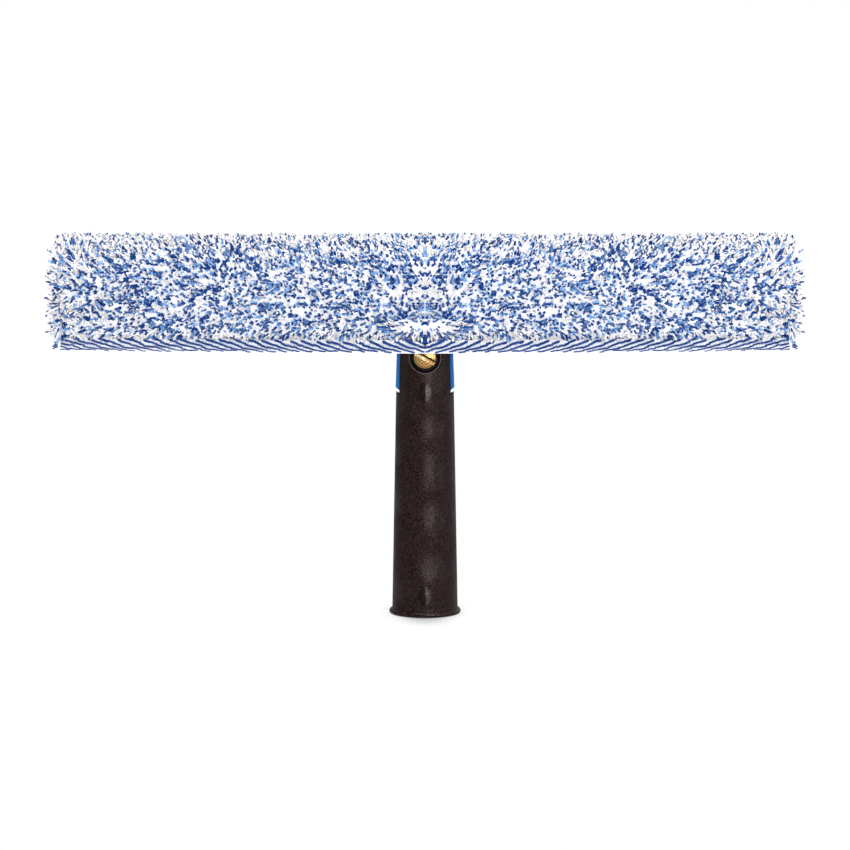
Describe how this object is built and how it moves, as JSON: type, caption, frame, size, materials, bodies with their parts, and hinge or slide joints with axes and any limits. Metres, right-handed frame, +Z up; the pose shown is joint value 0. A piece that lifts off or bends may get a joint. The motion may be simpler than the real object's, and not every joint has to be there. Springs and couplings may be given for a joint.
{
  "type": "window scrubber",
  "caption": "T-shaped window scrubber: tapered grip with pole socket, forked swivel with coin-slot clamp screw, and a bar wrapped in a pile washing sleeve.",
  "frame": {"origin": "centre of the grip's foot, on the surface that the rim stands on", "axes": "+X along the bar to the right as seen from the screw head, -Y the front with the screw head, +Z up along the grip"},
  "size_m": [0.3506, 0.0472, 0.1766],
  "materials": {
    "grip_black": "fine moulded satin",
    "screw_brass": "turned",
    "spring_steel": "oiled dark",
    "yoke_blue": "moulded satin",
    "bar_aluminium": "mill, drawn along the bar",
    "plug_black": "moulded satin",
    "pile_fabric": "white and blue tufted pile",
    "hem_twill": "white and blue twill",
    "closure_tape": "hook and loop nylon"
  },
  "bodies": {
    "handle": {"handle_shell": "grip_black", "pivot_nut": "screw_brass", "pivot_washer": "spring_steel"},
    "pivot_screw": {"pivot_screw": "screw_brass"},
    "head": {"swivel_yoke": "yoke_blue", "yoke_rivets": "bar_aluminium", "bar_tube": "bar_aluminium", "end_plug_left": "plug_black", "end_plug_right": "plug_black", "sleeve_cover": "pile_fabric", "sleeve_end_left": "pile_fabric", "sleeve_end_right": "pile_fabric", "front_hem_band": "hem_twill", "rear_hem_band": "hem_twill", "hook_tape_left": "closure_tape", "hook_tape_right": "closure_tape", "loop_tape_left": "closure_tape", "loop_tape_right": "closure_tape"}
  },
  "joints": [
    {"name": "head_swivel", "type": "hinge", "parent": "handle", "child": "head", "pos_m": [0, 0, 0.1203], "axis": [0, 1, 0], "range_deg": [-70, 70]},
    {"name": "pivot_screw_turn", "type": "hinge", "parent": "handle", "child": "pivot_screw", "pos_m": [0, 0, 0.1203], "axis": [0, -1, 0], "range_deg": [0, 270]}
  ]
}
